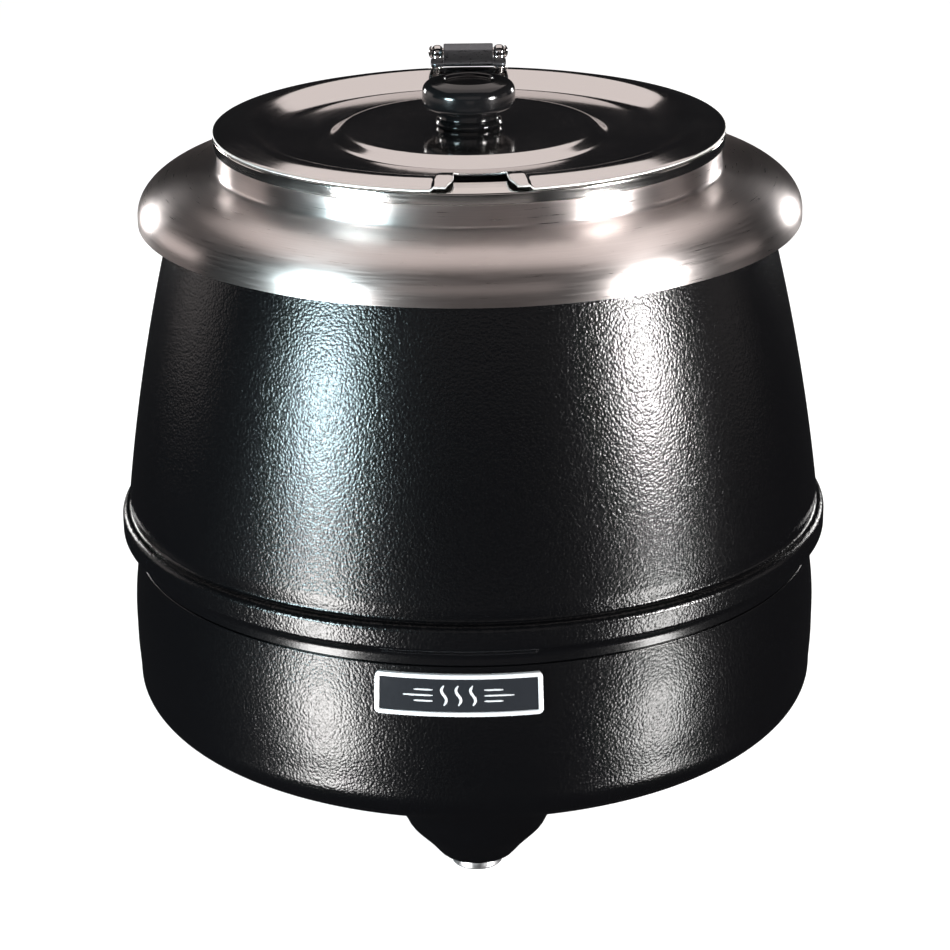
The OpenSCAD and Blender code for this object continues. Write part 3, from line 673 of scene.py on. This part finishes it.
def lid_outline(inset):
    """The lid's plan, anticlockwise, drawn in by inset."""
    r = LID_R - inset
    side = [(u, v) for u, v in notch_side(inset) if math.hypot(u, v) < r - 0.3]
    half = notch_side(inset)[-1][0]
    half = between([(v, u) for u, v in notch_side(inset)[2:]], math.sqrt(r * r - half * half))
    start = math.degrees(math.asin(half / r))
    rim = arc(0, 0, r, r, -90 + start, 270 - start, 420)
    mouth = [(-u, -v) for u, v in reversed(side)] + [(u, -v) for u, v in side[1:]]
    turn = Matrix.Rotation(math.radians(NOTCH_TURN), 2)
    return [tuple(turn @ Vector(p)) for p in rim + mouth]


def near_notch(p):
    """Whether a point of the lid's plan needs the finer mesh round the ladle notch."""
    return -26.5 < p[0] < 32 and -123 < p[1] < -95


def lid_points():
    """Mesh points of the lid in plan: rings about its centre, and a fine grid near the notch."""
    spacing, cell = 2.6, 0.9
    rings = [(0, 0)]
    for k, r in enumerate(steps(2, LID_R - 2, 90)):
        n = max(24, int(2 * math.pi * r / spacing))
        turns = [2 * math.pi * (i + k % 2 / 2) / n for i in range(n)]
        rings += [(r * math.cos(a), r * math.sin(a)) for a in turns]
    fine = [(x * cell, y * cell) for x in range(-29, 36) for y in range(-136, -106)]
    points = [p for p in rings if not near_notch(p)] + [p for p in fine if near_notch(p)]
    margin = lid_outline(1.1)
    return [p for p in points if math.hypot(*p) < LID_R - 1.2 and contains(margin, p)]


def lid():
    """The pressed lid: top and underside triangulated in plan, joined by a rounded edge."""
    bevel, soft = 0.42, 0.12
    edges = [(soft, -soft), (0, -bevel), (0, bevel - LID_T), (soft, soft - LID_T)]
    outline = lid_outline(bevel)
    inside = lid_points()
    points = [Vector(p) for p in outline + inside]
    n = len(outline)
    loop = [(i, (i + 1) % n) for i in range(n)]
    flat, _, triangles = delaunay_2d_cdt(points, loop, [], 1, 1e-7)[:3]
    verts = [(p.x, p.y, lid_z(p.x, p.y)) for p in flat]
    verts += [(p.x, p.y, lid_z(p.x, p.y) - LID_T) for p in flat]
    faces = [list(t) for t in triangles] + [[i + len(flat) for i in reversed(t)] for t in triangles]
    rings = [range(n)]
    for inset, drop in edges:
        rings.append(range(len(verts), len(verts) + n))
        shape = beside(outline, bevel - inset, closed=True)
        verts += [(x, y, lid_z(x, y) + drop) for x, y in shape]
    rings.append(range(len(flat), len(flat) + n))
    sheet_faces = len(faces)
    for a, b in zip(rings, rings[1:]):
        bridge(faces, a, b)
    obj = piece("lid_pressed", verts, faces, [mirror_steel, cut_edge_with_painted_highlight], "lid", "mirror_stainless", ["lid"],
                sharp=50)
    # The edge faces take the rougher cut-edge steel, whose lighter colour paints a highlight line round the
    # rim and the ladle notch.
    for f in obj.data.polygons[sheet_faces:]:
        f.material_index = 1


def contains(outline, p):
    """Whether a point is inside a closed outline."""
    inside = False
    for (x0, y0), (x1, y1) in zip(outline, outline[1:] + outline[:1]):
        if (y0 > p[1]) != (y1 > p[1]) and p[0] < x0 + (x1 - x0) * (p[1] - y0) / (y1 - y0):
            inside = not inside
    return inside


def lid_knob():
    top = knob_high.z - LID_Z
    section = rounded([
        (0, 0, 0), (15.4, 0, 0.5), (16, 1.6, 1.2), (15.2, 3.2, 0.8), (14.1, 4, 1.2), (14.1, 6.6, 3),
        (15.5, 8.6, 3), (KNOB_R, 8.8, 6.5), (KNOB_R, top - 2.2, 6.8), (14.5, top, 2), (12.2, top - 0.2, 1),
        (11.6, top - 1.7, 0.6), (0, top - 2, 0)], per_point=7)
    verts, faces = spun([(r, z + LID_Z) for r, z in section], closed=False)
    piece("lid_knob_turned", verts, faces, [gloss_black], "lid", "gloss_black", ["lid_knob"])


# ---- hinge ----

def hinge_strap():
    """The plate on the lid, bent round the pin as the middle knuckle."""
    plate_z = strap_low.z + 3.3
    plate_y = strap_low.y
    knuckle = [(y, z, 0) for y, z in arc(PIN_Y, PIN_Z, 4.2, 4.2, -112, 105, 22)]
    section = rounded([(plate_y, plate_z, 0.5), (PIN_Y - 6.5, plate_z - 0.1, 2.5), *knuckle,
                       (PIN_Y - 6, PIN_Z + 2.2, 5), (PIN_Y - 14, plate_z + 2.4, 6),
                       (plate_y + 4, plate_z + 2, 2), (plate_y, plate_z + 1.7, 0.6)], closed=True)
    verts, faces = slab(section, -12.6, 12.6, 0.5)
    bar = moved((verts, faces), ACROSS)
    tab = slab(rectangle(38, 15, 3.5), plate_z, plate_z + 1.4, 0.35)
    tab = moved(tab, Matrix.Translation((0, plate_y + 7.5, 0)))
    verts, faces = merged(bar, tab)
    piece("hinge_strap_bent", verts, faces, [dark_steel], "lid", "dark_satin_steel", ["hinge_strap"])


def hinge_bracket():
    """The plate on the collar's rim, with a knuckle on each side of the strap's."""
    inner, outer = LID_R + 0.3, LID_R + 1.8
    curl = [(y, z, 0) for y, z in arc(PIN_Y, PIN_Z, 3.6, 3.6, -60, 200, 24)]
    ear = rounded(curl + [(PIN_Y - 4.6, PIN_Z - 4.5, 2), (inner, LID_Z - 3, 1), (inner, RIM_BAND_Z - 4, 0.4),
                          (outer, RIM_BAND_Z - 4, 0.4), (LID_R + 2.4, LID_Z - 4, 3)], closed=True)
    parts = [moved(slab(ear, low, high, 2.4), ACROSS) for low, high in ((-18.6, -13), (13, 18.6))]
    span = math.degrees(math.asin(19 / LID_R))
    section = rounded([(LID_R - 1.6, RIM_BAND_Z - 6, 0.3), (outer, RIM_BAND_Z - 6, 0.8),
                       (outer, LID_Z - 2, 0.6), (inner, LID_Z - 2, 0.5), (inner, RIM_BAND_Z - 1, 0.2),
                       (LID_R - 1.6, RIM_BAND_Z - 1, 0.2)], closed=True)
    parts.append(swept_sector(section, 90 - span, 90 + span, 24))
    verts, faces = merged(*parts)
    piece("hinge_bracket_bent", verts, faces, [mirror_steel], "collar", "mirror_stainless",
          ["hinge_bracket"])


def swept_sector(section, a0, a1, n):
    """A closed (radius, height) section swept round the axis from one angle to another."""
    verts, rings, faces = [], [], []
    for a in steps(math.radians(a0), math.radians(a1), n):
        rings.append(range(len(verts), len(verts) + len(section)))
        verts += [(r * math.cos(a), r * math.sin(a), z) for r, z in section]
    for a, b in zip(rings, rings[1:]):
        bridge(faces, a, b)
    return verts, faces + [list(rings[0])[::-1], list(rings[-1])]


# ---- controls at the rear ----

def dial_bezel():
    face = BEZEL_Y
    ring = spun(rounded([(5.4, face - 12, 0), (28, face - 12, 0), (28, face - 1.2, 1.1), (26.8, face, 0.6),
                         (22.2, face, 0.3), (21.9, face - 0.4, 0.3), (5.4, face - 0.4, 0)], closed=True), 160)
    piece("dial_bezel_moulded", *ring, [grained_black], "base", "black_plastic", ["dial_bezel"],
          at_rear(0, DIAL_Z))


def dial_marks():
    """Eleven even marks over the knob's 300 degrees, the end and middle ones longer."""
    marks = []
    for i in range(11):
        a = math.radians(-150 + 30 * i)
        tall = 2.6 if i % 5 == 0 else 1.6
        mark = slab(rectangle(0.7 if i % 5 else 1.1, tall, 0.25, 1), BEZEL_Y, BEZEL_Y + 0.12, 0.04)
        marks.append(moved(mark, Matrix.Rotation(a, 4, "Z") @ Matrix.Translation((0, -24.6, 0))))
    piece("dial_marks", *merged(*marks), [print_white], "base", "ivory_plastic", place=at_rear(0, DIAL_Z))


def dial_knob():
    def grip(r, z, a):
        if r < DIAL_R - 6 or z < dial_low.y + 2.5:
            return r, z
        return r - 0.8 * (0.5 + 0.5 * math.cos(18 * a)) ** 2, z

    base, top = dial_low.y, dial_high.y - 1.7
    skirt = spun(rounded([(0, base, 0), (DIAL_R, base, 0.4), (DIAL_R, base + 2, 0.8),
                          (DIAL_R - 2.2, base + 3, 1), (DIAL_R - 3.2, top, 2.2),
                          (DIAL_R - 9, top, 1), (0, top, 0)], per_point=12), 216,
                 closed=False, shape=grip)
    bar = slab(rectangle(4.6, 34, 2.2, 2), top - 0.4, dial_high.y, 0.7)
    piece("dial_knob_moulded", *merged(skirt, bar), [gloss_black], "dial", "gloss_black", ["control_knob"],
          at_rear(0, DIAL_Z))
    line = slab(rectangle(1, 10, 0.4, 1), dial_high.y - 0.2, dial_high.y, 0.05)
    pointer = moved(line, Matrix.Translation((0, -10.5, 0)))
    piece("dial_pointer", *pointer, [print_white], "dial", "ivory_plastic", place=at_rear(0, DIAL_Z))


def pilot_lens():
    out = BELLY_R + 0.1
    lens = spun(rounded([(0, out - 8, 0), (4, out - 8, 0), (4, out, 0), (5.4, out, 0.3),
                         (5.4, out + 1.4, 0.5), (4.6, out + 2.9, 1.6), (0, out + 3.3, 0)]), 64, closed=False)
    piece("pilot_lens_moulded", *lens, [amber], "base", "amber_lens", ["pilot_lamp_lens"],
          at_rear(LAMP_TURN, DIAL_Z))


def cable_gland():
    start = BELLY_R + 4

    def ribs(r, z, a):
        return (r - 0.35 * (0.5 + 0.5 * math.cos(24 * a)), z) if r > 9 and z > start + 0.8 else (r, z)

    gland = spun(rounded([(4.8, 152, 0.3), (8, 152, 0.5), (8, 160, 0), (11.5, 160, 0), (11.5, start, 0.6),
                          (9.5, start, 0.2), (9.5, start + 6, 0.5), (9.2, start + 7, 1.5),
                          (6.6, start + 9, 2), (3.6, start + 9, 0.5), (3.6, start - 2, 0.2),
                          (4.8, start - 2.4, 0)], closed=True), 144, shape=ribs)
    piece("cable_gland_moulded", *gland, [grained_black], "base", "black_plastic", ["cable_gland"],
          at_rear(GLAND_TURN, DIAL_Z))


# ---- CAD nodes that keep their own shape ----

def dress_nodes():
    looks = {
        powder: ["base_cover"],
        zinc: ["base_cover_screws", "shell_screws", "foot_nuts", "clamp_plate", "clamp_studs", "clamp_nuts",
               "thermostat_screws", "terminal_screws", "knob_washer", "knob_screw", "badge_pins",
               "thermostat_shaft"],
        mirror_steel: ["bracket_rivets", "strap_rivets", "hinge_pin"],
        pot_steel: ["water_pan", "locating_ring"],
        wool: ["insulation_ring"],
        aluminium: ["heat_plate"],
        sheath: ["heating_element"],
        copper: ["sensor_bulb", "capillary_tube"],
        phenolic: ["thermal_cutout"],
        ivory: ["thermostat", "terminal_block", "pilot_lamp_body"],
        grained_black: ["gland_nut"],
        brass: ["earth_stud"],
        silicone: ["internal_leads"],
    }
    for mat, names in looks.items():
        for name in names:
            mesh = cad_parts[name].data
            mesh.materials.clear()
            mesh.materials.append(mat)


# ---- studio ----

def softbox(name, centre, width, tall, radiance, colour, aim=None):
    """A rectangular lamp of even brightness that faces the kettle's axis, or the point aim."""
    lamp = bpy.data.lights.new(name, "AREA")
    lamp.shape = "RECTANGLE"
    lamp.size, lamp.size_y = width * MM, tall * MM
    lamp.energy = radiance * math.pi * lamp.size * lamp.size_y
    lamp.color = colour
    obj = bpy.data.objects.new(name, lamp)
    at = Vector(centre) * MM
    obj.location = at
    facing = Vector(aim or (0, 0, centre[2])) * MM - at
    obj.rotation_euler = facing.to_track_quat("-Z", "Y").to_euler()
    obj.visible_camera = False
    bpy.context.scene.collection.objects.link(obj)


def beside_camera(name, turn, low, high, width, radiance, colour, distance=1500):
    """An upright softbox between two heights, at an angle from the camera's side."""
    a = math.radians(turn)
    centre = (distance * math.sin(a), -distance * math.cos(a), (low + high) / 2)
    softbox(name, centre, width, high - low, radiance, colour)


def stage_mesh(name, verts, faces, mat):
    """A staged mesh that isn't part of the object, from points in metres."""
    mesh = bpy.data.meshes.new(name)
    mesh.from_pydata(verts, [], faces)
    mesh.materials.append(mat)
    obj = bpy.data.objects.new(name, mesh)
    bpy.context.scene.collection.objects.link(obj)
    return obj


def studio():
    """A pale floor and room seen only directly. The paint and steel reflect the lamps and the dark."""
    floor_mat = principled("pale_floor", (0.4, 0.4, 0.4), 0.9)
    bsdf = floor_mat.node_tree.nodes["Principled BSDF"]
    bsdf.inputs["Emission Color"].default_value = (1, 1, 1, 1)
    bsdf.inputs["Emission Strength"].default_value = 0.9
    reach, room_low, room_high = 12, -1, 9
    corners = [(-reach, -reach, 0), (reach, -reach, 0), (reach, reach, 0), (-reach, reach, 0)]
    floor = stage_mesh("studio_floor", corners, [(0, 1, 2, 3)], floor_mat)
    room_mat = bpy.data.materials.new("pale_room")
    room_mat.use_nodes = True
    room_mat.node_tree.nodes.remove(room_mat.node_tree.nodes["Principled BSDF"])
    glow = add(room_mat, "ShaderNodeEmission", {"Color": (1, 1, 1, 1), "Strength": 1.0})
    output = room_mat.node_tree.nodes["Material Output"]
    room_mat.node_tree.links.new(glow.outputs[0], output.inputs["Surface"])
    turns = [math.radians(a) for a in range(0, 360, 10)]
    side = [(math.cos(a) * reach, math.sin(a) * reach) for a in turns]
    n = len(side)
    verts = [(x, y, z) for z in (room_low, room_high) for x, y in side]
    faces = [(i, (i + 1) % n, n + (i + 1) % n, n + i) for i in range(n)] + [tuple(range(n, 2 * n))]
    room = stage_mesh("studio_room", verts, faces, room_mat)
    room.visible_diffuse = room.visible_shadow = room.visible_transmission = False
    for o in (floor, room):
        o.visible_glossy = False
    floor.visible_shadow = False
    world = bpy.data.worlds.new("studio")
    bpy.context.scene.world = world
    world.use_nodes = True
    world.node_tree.nodes["Background"].inputs["Color"].default_value = (0.012, 0.012, 0.013, 1)

    warm, cool, white = (1.0, 0.9, 0.87), (0.72, 0.94, 1.0), (1.0, 0.98, 0.97)
    softbox("overhead", (0, 800, 1500), 1830, 2000, 0.95, warm, (0, 800, 0))
    beside_camera("left", -49, 175, 420, 440, 125, cool)
    beside_camera("right", 59, 200, 560, 330, 130, white)
    beside_camera("left_low", -48, -800, -40, 440, 50, white)
    beside_camera("right_low", 59, -800, -150, 330, 40, white)
    softbox("fill", (0, -2600, 1350), 3000, 1500, 0.34, warm, (0, 0, 300))
    softbox("fill_low", (0, -2600, -540), 2600, 320, 0.25, warm, (0, 0, 300))
    beside_camera("far_left", -112, 100, 700, 700, 0.9, warm)
    beside_camera("far_right", 98, 100, 700, 500, 0.4, warm)
    beside_camera("rear_left", -138, 220, 560, 260, 18, white)
    beside_camera("rear_right", 138, 220, 560, 260, 18, white)
    bpy.context.scene.view_settings.view_transform = "Standard"


def camera():
    """At the height and distance that the kettle is seen from, a little tilted and rolled."""
    data = bpy.data.cameras.new("view")
    data.lens = 112.06
    data.clip_end = 60
    obj = bpy.data.objects.new("view", data)
    distance, elevation, aim_z = 1.4565, math.radians(20), 0.17
    pitch, yaw, roll = math.radians(0.483), math.radians(-0.039), math.radians(-0.65)
    turn = Matrix.Rotation(math.pi / 2 - elevation - pitch, 4, "X")
    turn = turn @ Matrix.Rotation(yaw, 4, "Y") @ Matrix.Rotation(roll, 4, "Z")
    at = (0, -distance * math.cos(elevation), aim_z + distance * math.sin(elevation))
    obj.matrix_world = Matrix.Translation(at) @ turn
    bpy.context.scene.collection.objects.link(obj)
    bpy.context.scene.camera = obj


upper_shell()
lower_shell()
feet()
badge_frame()
badge_face()
badge_waves()
food_pot()
collar()
lid()
lid_knob()
hinge_strap()
hinge_bracket()
dial_bezel()
dial_marks()
dial_knob()
pilot_lens()
cable_gland()
dress_nodes()
studio()
camera()
